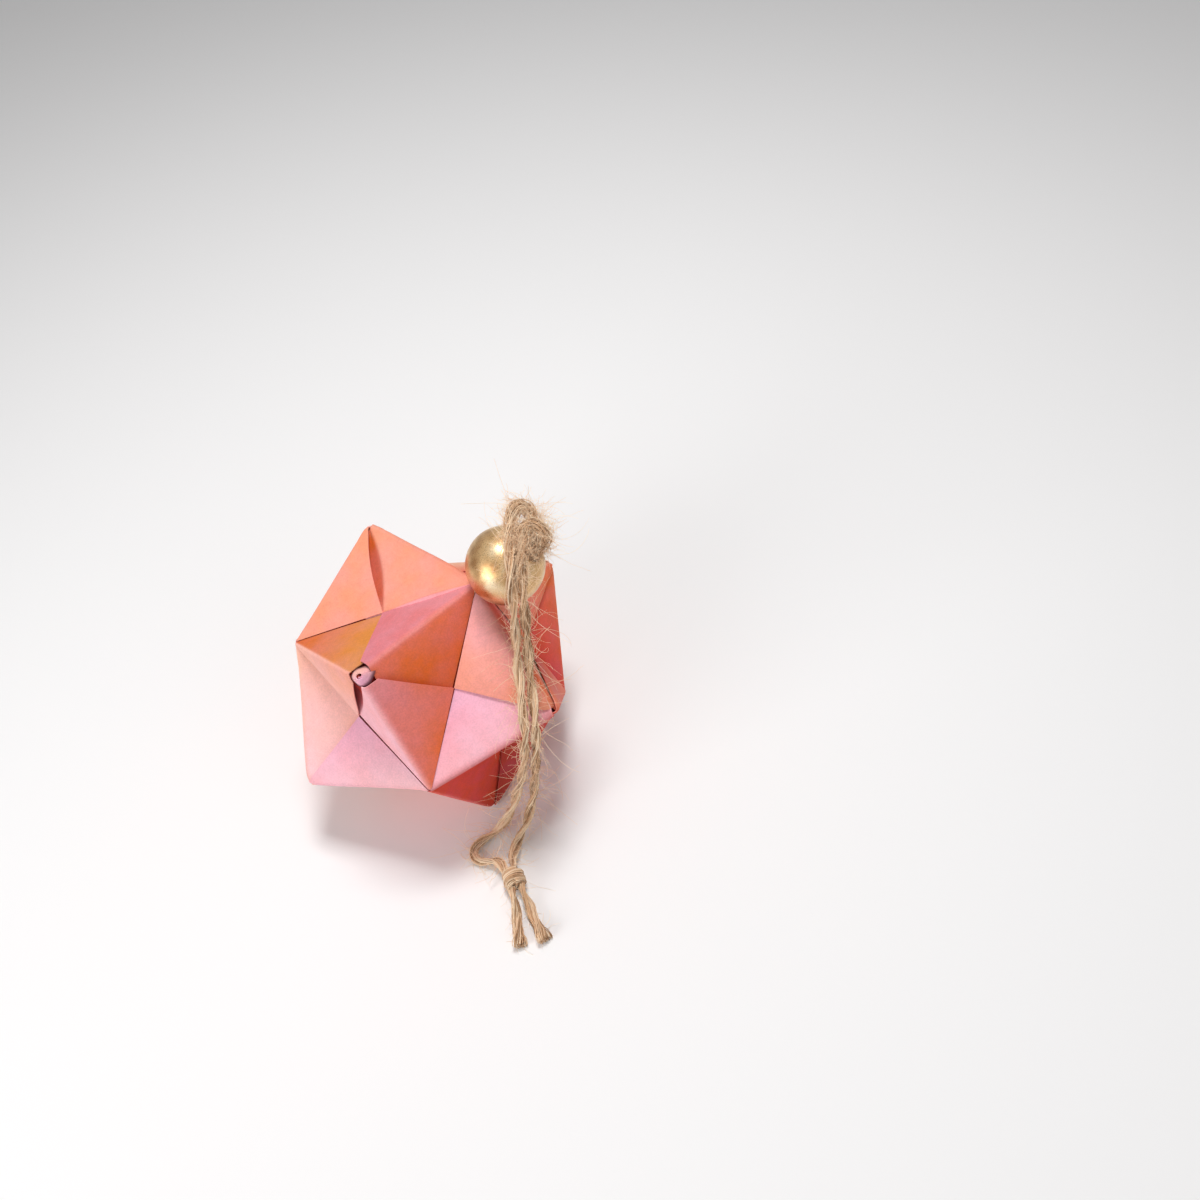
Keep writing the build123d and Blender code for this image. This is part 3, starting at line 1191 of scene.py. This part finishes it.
def evenly_spaced(points: list[Vector]) -> list[Vector]:
    """Space points evenly along a line, LINE_STEP apart.

    Args:
        points: the line's points, in metres.

    Returns:
        The new points, from the first to the last of the old ones.
    """
    even = [points[0]]
    need = LINE_STEP
    for start, end in zip(points, points[1:]):
        run = (end - start).length
        at = need
        while at <= run:
            even.append(start.lerp(end, at / run))
            at += LINE_STEP
        need = at - run
    if (even[-1] - points[-1]).length > 0.3 * LINE_STEP:
        even.append(points[-1])
    else:
        even[-1] = points[-1]
    return even


@dataclass
class Line:
    """A line through space, in metres, with a direction ahead and one to the side carried along it."""

    places: list[Vector]

    def __post_init__(self) -> None:
        """Work out the directions along the line."""
        last = len(self.places) - 1
        self.ahead = [
            (self.places[min(last, index + 1)] - self.places[max(0, index - 1)]).normalized()
            for index in range(last + 1)
        ]
        side = self.ahead[0].orthogonal().normalized()
        self.sides = [side]
        for old, new in zip(self.ahead, self.ahead[1:]):
            side = old.rotation_difference(new) @ side
            side = (side - new * side.dot(new)).normalized()
            self.sides.append(side)

    @classmethod
    def along(cls, name: str, route: list[Vector]) -> Line:
        """Draw a line along the smooth spline of a route.

        Args:
            name: a name for the curve while it exists.
            route: the route's points, in millimetres.

        Returns:
            The line, with evenly spaced places.
        """
        data = bpy.data.curves.new(name, "CURVE")
        data.dimensions = "3D"
        spline = data.splines.new("NURBS")
        spline.points.add(len(route) - 1)
        for point, place in zip(spline.points, route):
            point.co = (*(place * MM), 1)
        spline.order_u = 3
        spline.use_endpoint_u = True
        spline.resolution_u = 10
        holder = bpy.data.objects.new(name, data)
        mesh = bpy.data.meshes.new_from_object(holder)
        points = [vert.co.copy() for vert in mesh.vertices]
        bpy.data.objects.remove(holder)
        bpy.data.curves.remove(data)
        bpy.data.meshes.remove(mesh)
        return cls(evenly_spaced(points))

    @property
    def length(self) -> float:
        """Length in metres."""
        return sum((b - a).length for a, b in zip(self.places, self.places[1:]))

    def outward(self, index: int, angle: float) -> Vector:
        """Direction square to the line at a place, at an angle round it."""
        side, ahead = self.sides[index], self.ahead[index]
        return math.cos(angle) * side + math.sin(angle) * ahead.cross(side)

    def around(self, index: int, radius: float, angle: float) -> Vector:
        """A place beside the line, at a radius and an angle round it."""
        return self.places[index] + radius * self.outward(index, angle)


@dataclass
class Yarn:
    """Fibres gathered as thin tubes, to become one mesh."""

    name: str
    material: bpy.types.Material

    def __post_init__(self) -> None:
        """Start with no fibres."""
        self.tubes: list[tuple[list[Vector], float, float, float]] = []

    def add(self, points: list[Vector], radius: float, tint: float, end_radius: float | None = None) -> None:
        """Add a fibre along points, all in metres, that may taper. Its tint goes from 0, tan, to 1, pale."""
        self.tubes.append((points, radius, tint, radius if end_radius is None else end_radius))

    def build(self, sides: int = 5) -> bpy.types.Object:
        """Skin every fibre and link the mesh.

        Args:
            sides: corners of each fibre's section.

        Returns:
            The object, not yet riding on anything.
        """
        whole = bmesh.new()
        for points, radius, tint, end_radius in self.tubes:
            add_part(whole, self.skin(Line(points), radius, end_radius, tint, sides))
        return link_piece(self.name, whole, self.material)

    def skin(self, line: Line, radius: float, end_radius: float, tint: float, sides: int) -> bmesh.types.BMesh:
        """Wrap a grid round one fibre's line and close its two ends.

        Args:
            line: the fibre's line.
            radius: its radius at the start, in metres.
            end_radius: its radius at the end.
            tint: 0 for tan to 1 for pale.
            sides: corners of its section.

        Returns:
            The fibre's mesh, in metres.
        """
        last = len(line.places) - 1
        tube = bmesh.new()
        layer = tube.verts.layers.float.new("tint")
        bmesh.ops.create_grid(tube, x_segments=last, y_segments=sides, size=0.5)
        for vert in tube.verts:
            index = round((vert.co.x + 0.5) * last)
            corner = round((vert.co.y + 0.5) * sides) % sides
            size = radius + (end_radius - radius) * index / last
            vert.co = line.around(index, size, 2 * math.pi * corner / sides)
            vert[layer] = tint
        bmesh.ops.remove_doubles(tube, verts=tube.verts, dist=0.01 * end_radius)
        bmesh.ops.holes_fill(tube, edges=tube.edges, sides=sides)
        bmesh.ops.recalc_face_normals(tube, faces=tube.faces)
        return tube


@dataclass
class JuteStrand:
    """Two-ply jute twine laid along a line: two plies of loose fibres, wound round each other.

    A real fibre is about 0.03 mm wide. A ply is drawn as fewer and thicker ones, so that they show.
    """

    line: Line
    chance: random.Random
    diameter: float = 1.8
    lay: float = 15.0
    ply_share: float = 0.27
    ply_apart: float = 0.86
    core_share: float = 0.62
    core_tint: float = 0.12
    fibre: float = 0.085
    fibres: int = 22
    fibre_lay: float = 1.7
    slow_wave: float = 0.16
    quick_wave: float = 0.1
    fray: float = 0.0
    fray_spread: float = 1.6
    loose_until: float = 0.0

    def fill(self, yarn: Yarn) -> None:
        """Lay the strand's fibres.

        Args:
            yarn: where the fibres go.
        """
        chance = self.chance
        radius = self.ply_share * self.diameter * MM
        turns = [2 * math.pi * index * LINE_STEP / (self.lay * MM) for index in range(len(self.line.places))]
        for start in (0.0, math.pi):
            ply = [
                self.line.around(index, self.ply_apart * radius, start + turn)
                for index, turn in enumerate(turns)
            ]
            yarn.add(ply, self.core_share * radius, self.core_tint)
            for number in range(self.fibres):
                around = 2 * math.pi * number / self.fibres + chance.uniform(-0.25, 0.25)
                depth = chance.uniform(0.55, 0.95)
                drift = chance.uniform(0, 6.3)
                tint = chance.uniform(0.05, 1.0)
                astray = 0.3 + 2.4 * chance.random() ** 2
                path = []
                for index, (centre, turn) in enumerate(zip(ply, turns)):
                    roll = around + start + turn * (1 - 1 / self.fibre_lay)
                    spread = radius * depth * self.stray(index, drift, astray)
                    place = centre + self.line.outward(index, roll) * spread
                    place.z = max(place.z, self.fibre * MM)
                    path.append(place)
                yarn.add(path, self.fibre * MM, tint)

    def stray(self, index: int, drift: float, astray: float) -> float:
        """How far a fibre strays from its even place in the ply.

        Args:
            index: the place along the strand's line.
            drift: where the fibre's own waves start.
            astray: how far it stands off where the strand is loose.

        Returns:
            A factor on its distance from the ply's middle.
        """
        along = index * LINE_STEP / MM
        slow, quick = math.sin(0.9 * along + drift), math.sin(2.3 * along + drift)
        factor = 1 + self.slow_wave * slow + self.quick_wave * quick
        if self.loose_until:
            share = along / self.loose_until
            swell = math.sin(math.pi * min(1.0, share))
            factor *= 1 + astray * swell * (0.7 + 0.3 * math.sin(drift + 9 * share))
        if self.fray:
            to_end = (len(self.line.places) - 1 - index) * LINE_STEP / MM
            factor *= 1 + self.fray_spread * smooth_step(1 - to_end / self.fray)
        return factor


@dataclass
class Fuzz:
    """Loose hairs that stand off the twine. Most are short, and they are drawn thicker than life to show."""

    chance: random.Random
    per_centimetre: float = 85
    crowded: float = 9.0
    shortest: float = 0.8
    longest: float = 10.5
    radius: float = 0.034
    crown_scale: float = 0.42
    crown_spread: float = 1.5
    most_bend: float = 2.4
    kink: float = 0.07
    table_gap: float = 0.06

    def fill(self, yarn: Yarn, line: Line, surface: float, crown: float = 0.0) -> None:
        """Grow hairs along a line.

        Args:
            yarn: where the hairs go.
            line: the twine's line.
            surface: the twine's radius, in millimetres.
            crown: length from the start, in millimetres, where short ones crowd.
        """
        last = len(line.places) - 1
        for _ in range(int(self.per_centimetre * line.length / (10 * MM))):
            self.hair(yarn, line, self.chance.randint(0, last), surface)
        last = min(last, int(crown * MM / LINE_STEP))
        for _ in range(int(self.crowded * self.per_centimetre * crown / 10)):
            index = self.chance.randint(0, last)
            self.hair(yarn, line, index, self.crown_spread * surface, self.crown_scale)

    def hair(self, yarn: Yarn, line: Line, index: int, surface: float, scale: float = 1.0) -> None:
        """Grow one hair: it leaves along the twine and bends away in a loose arc.

        Args:
            yarn: where the hair goes.
            line: the twine's line.
            index: the place on the line where it grows.
            surface: the twine's radius, in millimetres.
            scale: a factor on its length.
        """
        chance = self.chance
        root = line.around(index, 0.75 * surface * MM, chance.uniform(0, 2 * math.pi))
        out = (root - line.places[index]).normalized()
        ahead = line.ahead[index] * chance.choice((-1, 1))
        lean = chance.uniform(0.2, 1.3)
        direction = (out * math.sin(lean) + ahead * math.cos(lean)).normalized()
        length = scale * MM * (self.shortest + (self.longest - self.shortest) * chance.random() ** 3.2)
        bend_axis = Vector([chance.gauss(0, 1) for _ in range(3)]).normalized()
        bend = chance.uniform(-self.most_bend, self.most_bend)
        steps = 4 + int(length / (1.1 * MM))
        points = [root]
        for _ in range(steps):
            direction = Quaternion(bend_axis, bend / steps) @ direction
            nudge = Vector([chance.gauss(0, self.kink) for _ in range(3)])
            direction = (direction + nudge).normalized()
            place = points[-1] + direction * (length / steps)
            place.z = max(place.z, self.table_gap * MM)
            points.append(place)
        thickness = self.radius * chance.uniform(0.7, 1.25) * MM
        yarn.add(points, thickness, chance.uniform(0.45, 1.0), 0.5 * thickness)


@dataclass
class TwineLoop:
    """The hanging loop: two free strands, the doubled twine in the bead and a knot at either end."""

    seat: BeadSeat
    diameter: float = 1.8
    spacing: float = 1.9
    straight_out: float = 1.8
    straight_in: float = 1.6
    knot_length: float = 4.2
    crown_length: float = 17.0
    tail_start: float = 0.8
    tail_fray: float = 4.5
    inside_squeeze: float = 0.95
    inside_depth: float = 5.2
    inside_knot: float = 6.2
    wrap_squeeze: float = 0.96
    wrap_radius: float = 1.45
    wrap_taper: float = 0.12
    wrap_turns: float = 1.6
    wrap_steps: int = 40
    core_apart: float = 0.45
    knot_at: Vector = field(default_factory=lambda: Vector((1.3, -35.6, 2.4)))
    left_route: tuple = (
        (22.9, -6.4, 57.3), (22.5, -3.8, 58.2), (22.2, -2.1, 59.1), (21.0, -1.5, 60.0),
        (19.6, -2.6, 60.3), (18.5, -4.5, 60.0), (17.2, -7.7, 59.0), (16.2, -10.4, 57.7),
        (15.2, -12.9, 54.3), (14.5, -14.5, 49.5), (13.9, -15.0, 43.5), (12.6, -18.5, 38.4),
        (10.8, -25.3, 32.4), (9.2, -25.6, 22.5), (7.2, -24.2, 12.8), (4.6, -24.1, 5.0),
        (1.4, -24.6, 1.6), (-0.9, -24.8, 1.1), (-2.6, -25.4, 1.0), (-3.9, -26.3, 1.0),
        (-4.3, -27.9, 1.0), (-3.5, -29.3, 1.1), (-1.9, -29.9, 1.4), (-0.6, -30.4, 1.9),
    )
    right_route: tuple = (
        (22.6, -9.1, 57.7), (23.1, -8.5, 59.3), (22.2, -7.6, 60.3), (20.9, -7.0, 60.6),
        (19.6, -7.6, 59.8), (18.5, -9.4, 58.0), (17.3, -12.4, 55.2), (16.5, -14.3, 50.6),
        (15.9, -14.9, 44.2), (14.6, -18.2, 38.5), (12.7, -25.3, 32.1), (11.2, -25.6, 22.2),
        (9.9, -24.9, 11.5), (7.6, -25.8, 4.2), (4.9, -27.5, 1.4), (3.2, -29.6, 1.6),
    )
    left_tail: tuple = ((0.1, -41.1, 1.2), (-0.8, -43.9, 1.0), (-1.2, -47.3, 1.0))
    right_tail: tuple = ((2.6, -40.7, 1.2), (2.5, -44.1, 1.0), (3.4, -47.9, 1.0))

    def build(self) -> list[bpy.types.Object]:
        """Lay the twine, attach each piece to the root body and hide the CAD nodes that the pieces replace.

        Returns:
            Every piece of twine.
        """
        jute = JuteFibre()
        chance = random.Random(7)
        body = jute.material("two_ply_jute_twine")
        hair = jute.material("loose_jute_hair", 1.18)
        fuzz = Yarn("twine_fuzz", hair)
        strands = []
        for name, sign, route in (("left", 1, self.left_route), ("right", -1, self.right_route)):
            start = self.seat.mouth - self.seat.side * (sign * self.spacing / 2)
            end = self.knot_at + Vector((-sign * self.spacing / 2, self.knot_length / 2, 0))
            points = [start, start + self.seat.axis * self.straight_out, *map(Vector, route)]
            points += [end + Vector((0, self.straight_in, 0)), end]
            line = Line.along(f"{name}_route", points)
            yarn = Yarn(f"{name}_twine_strand", body)
            JuteStrand(line, chance, self.diameter, loose_until=self.crown_length).fill(yarn)
            strands.append((yarn.build(), line, start, f"{name}_strand"))
            Fuzz(chance).fill(fuzz, line, self.diameter / 2, self.crown_length)
        knot = Yarn("end_knot_twine", body)
        self.knot(knot, self.knot_at, Vector((0, -1, 0)), chance)
        self.tails(knot, fuzz, chance)
        inner = Yarn("inner_twine_strands", body)
        self.inner(inner, chance)
        pieces = [knot.build(), inner.build(), fuzz.build(sides=3)]
        for piece, node in zip(pieces, ("end_knot", "inner_twine", None)):
            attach(piece, "root")
            if node:
                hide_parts(node)
        for piece, line, start, node in strands:
            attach(piece, "root")
            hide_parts(node)
            line.length
        return pieces + [strand[0] for strand in strands]

    def tails(self, knot: Yarn, fuzz: Yarn, chance: random.Random) -> None:
        """Lay the two short frayed tails past the end knot.

        Args:
            knot: where their fibres go.
            fuzz: where their loose hairs go.
            chance: the source of small differences.
        """
        for sign, tail in ((-1, self.left_tail), (1, self.right_tail)):
            beside = Vector((sign * self.spacing / 2, self.tail_start - self.knot_length / 2, 0))
            start = self.knot_at + beside
            straight = start - Vector((0, self.straight_in + self.tail_start, 0))
            line = Line.along("tail_route", [start, straight, *map(Vector, tail)])
            JuteStrand(line, chance, self.diameter, fray=self.tail_fray).fill(knot)
            Fuzz(chance, per_centimetre=40, longest=6).fill(fuzz, line, self.diameter / 2)

    def inner(self, yarn: Yarn, chance: random.Random) -> None:
        """Lay the doubled twine in the bead's bore and its stop knot inside the ball.

        Args:
            yarn: where its fibres go.
            chance: the source of small differences.
        """
        seat = self.seat
        inside = seat.foot - seat.steep * self.inside_depth
        for sign in (1, -1):
            side = seat.side * (self.inside_squeeze * sign * self.spacing / 2)
            line = Line.along("inner_route", [place + side for place in (seat.mouth, seat.foot, inside)])
            JuteStrand(line, chance, self.diameter).fill(yarn)
        self.knot(yarn, seat.foot - seat.steep * self.inside_knot, -seat.steep, chance)

    def knot(self, yarn: Yarn, centre: Vector, ahead: Vector, chance: random.Random) -> None:
        """Wind a tight knot: the doubled twine wrapped round itself.

        Args:
            yarn: where its fibres go.
            centre: the knot's middle, in millimetres.
            ahead: the direction in which the twine runs through it.
            chance: the source of small differences.
        """
        side = ahead.orthogonal().normalized()
        other = ahead.cross(side)
        half = 0.5 * (self.knot_length - self.diameter)
        for start in (0.0, math.pi):
            points = []
            for step in range(self.wrap_steps + 1):
                share = step / self.wrap_steps
                angle = start + 2 * math.pi * self.wrap_turns * share
                along = 2 * share - 1
                radius = self.wrap_radius * (1 - self.wrap_taper * along**2)
                out = math.cos(angle) * side + math.sin(angle) * other
                points.append((centre + ahead * half * along + out * radius) * MM)
            JuteStrand(Line(evenly_spaced(points)), chance, self.diameter * self.wrap_squeeze).fill(yarn)
            beside = centre + side * math.cos(start) * self.core_apart
            core = [(beside + ahead * along) * MM for along in (-half, 0, half)]
            JuteStrand(Line(evenly_spaced(core)), chance, self.diameter).fill(yarn)


@dataclass
class Studio:
    """Camera, table and lights. Each lamp has a name, a place, a side in millimetres and a power in watts."""

    camera_place: Vector = field(default_factory=lambda: Vector((-0.48, -124.35, 184.31)))
    right: Vector = field(default_factory=lambda: Vector((0.9365, -0.3434, -0.0715)))
    up: Vector = field(default_factory=lambda: Vector((0.3091, 0.7117, 0.6308)))
    lens: float = 32.1
    table: float = 1200.0
    room: float = 0.27
    room_in_metal: float = 0.68
    lamps: tuple = (
        ("window", (-328, -156, 164), 230, 0.66),
        ("ceiling", (50, 60, 420), 110, 1.06),
        ("reflector", (170, -320, 250), 300, 0.18),
    )
    lit_place: tuple[float, float, float] = (0, 0, 20)

    def build(self) -> None:
        """Set up the view, the table and the light."""
        self.camera()
        self.floor()
        self.lights()

    def camera(self) -> None:
        """Put the camera where the photograph was taken from."""
        data = bpy.data.cameras.new("camera")
        data.lens = self.lens
        data.sensor_width = 36
        data.clip_start = 0.005
        camera = bpy.data.objects.new("camera", data)
        right = self.right.normalized()
        back = right.cross(self.up).normalized()
        turn = Matrix((right, back.cross(right), back)).transposed().to_4x4()
        camera.matrix_world = Matrix.Translation(self.camera_place * MM) @ turn
        bpy.context.scene.collection.objects.link(camera)
        bpy.context.scene.camera = camera

    def floor(self) -> None:
        """Lay the table top."""
        top = bmesh.new()
        bmesh.ops.create_grid(top, x_segments=1, y_segments=1, size=self.table * MM)
        piece = link_piece("table_top", top, PaleTable().material())

    def lights(self) -> None:
        """Light it softly from a large window at the left, with a pale room around."""
        world = bpy.data.worlds.new("room")
        bpy.context.scene.world = world
        world.use_nodes = True
        tree = world.node_tree
        # Metal sees a brighter room than the one that lights the table, and the camera sees a white one
        glossy = add_node(tree, "LightPath", out="Is Glossy Ray")
        in_metal = add_node(tree, "MapRange", Value=glossy, To_Min=self.room, To_Max=self.room_in_metal)
        seen = glossy.node.outputs["Is Camera Ray"]
        strength = add_node(tree, "Math", {"operation": "MAXIMUM"}, i0=in_metal, i1=seen)
        set_inputs(tree, tree.nodes["Background"], Color=linear("#FFFFFF"), Strength=strength)
        for name, place, size, power in self.lamps:
            data = bpy.data.lights.new(name, "AREA")
            data.shape = "SQUARE"
            data.size = size * MM
            data.energy = power
            lamp = bpy.data.objects.new(name, data)
            lamp.location = Vector(place) * MM
            away = Vector(place) - Vector(self.lit_place)
            lamp.rotation_euler = away.to_track_quat("Z", "Y").to_euler()
            bpy.context.scene.collection.objects.link(lamp)


def main() -> None:
    """Build the ornament and its studio, and report each piece."""
    logging.basicConfig(level=logging.INFO, format="%(message)s")
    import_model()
    bpy.context.scene.view_settings.view_transform = "Standard"
    ball = PaperBall()
    seat = BeadSeat(ball.pose)
    for piece in [*ball.build(), Bead(seat).build(), *TwineLoop(seat).build()]:
        log.info("%s: %d faces", piece.name, len(piece.data.polygons))
    Studio().build()


if __name__ == "__main__":
    main()
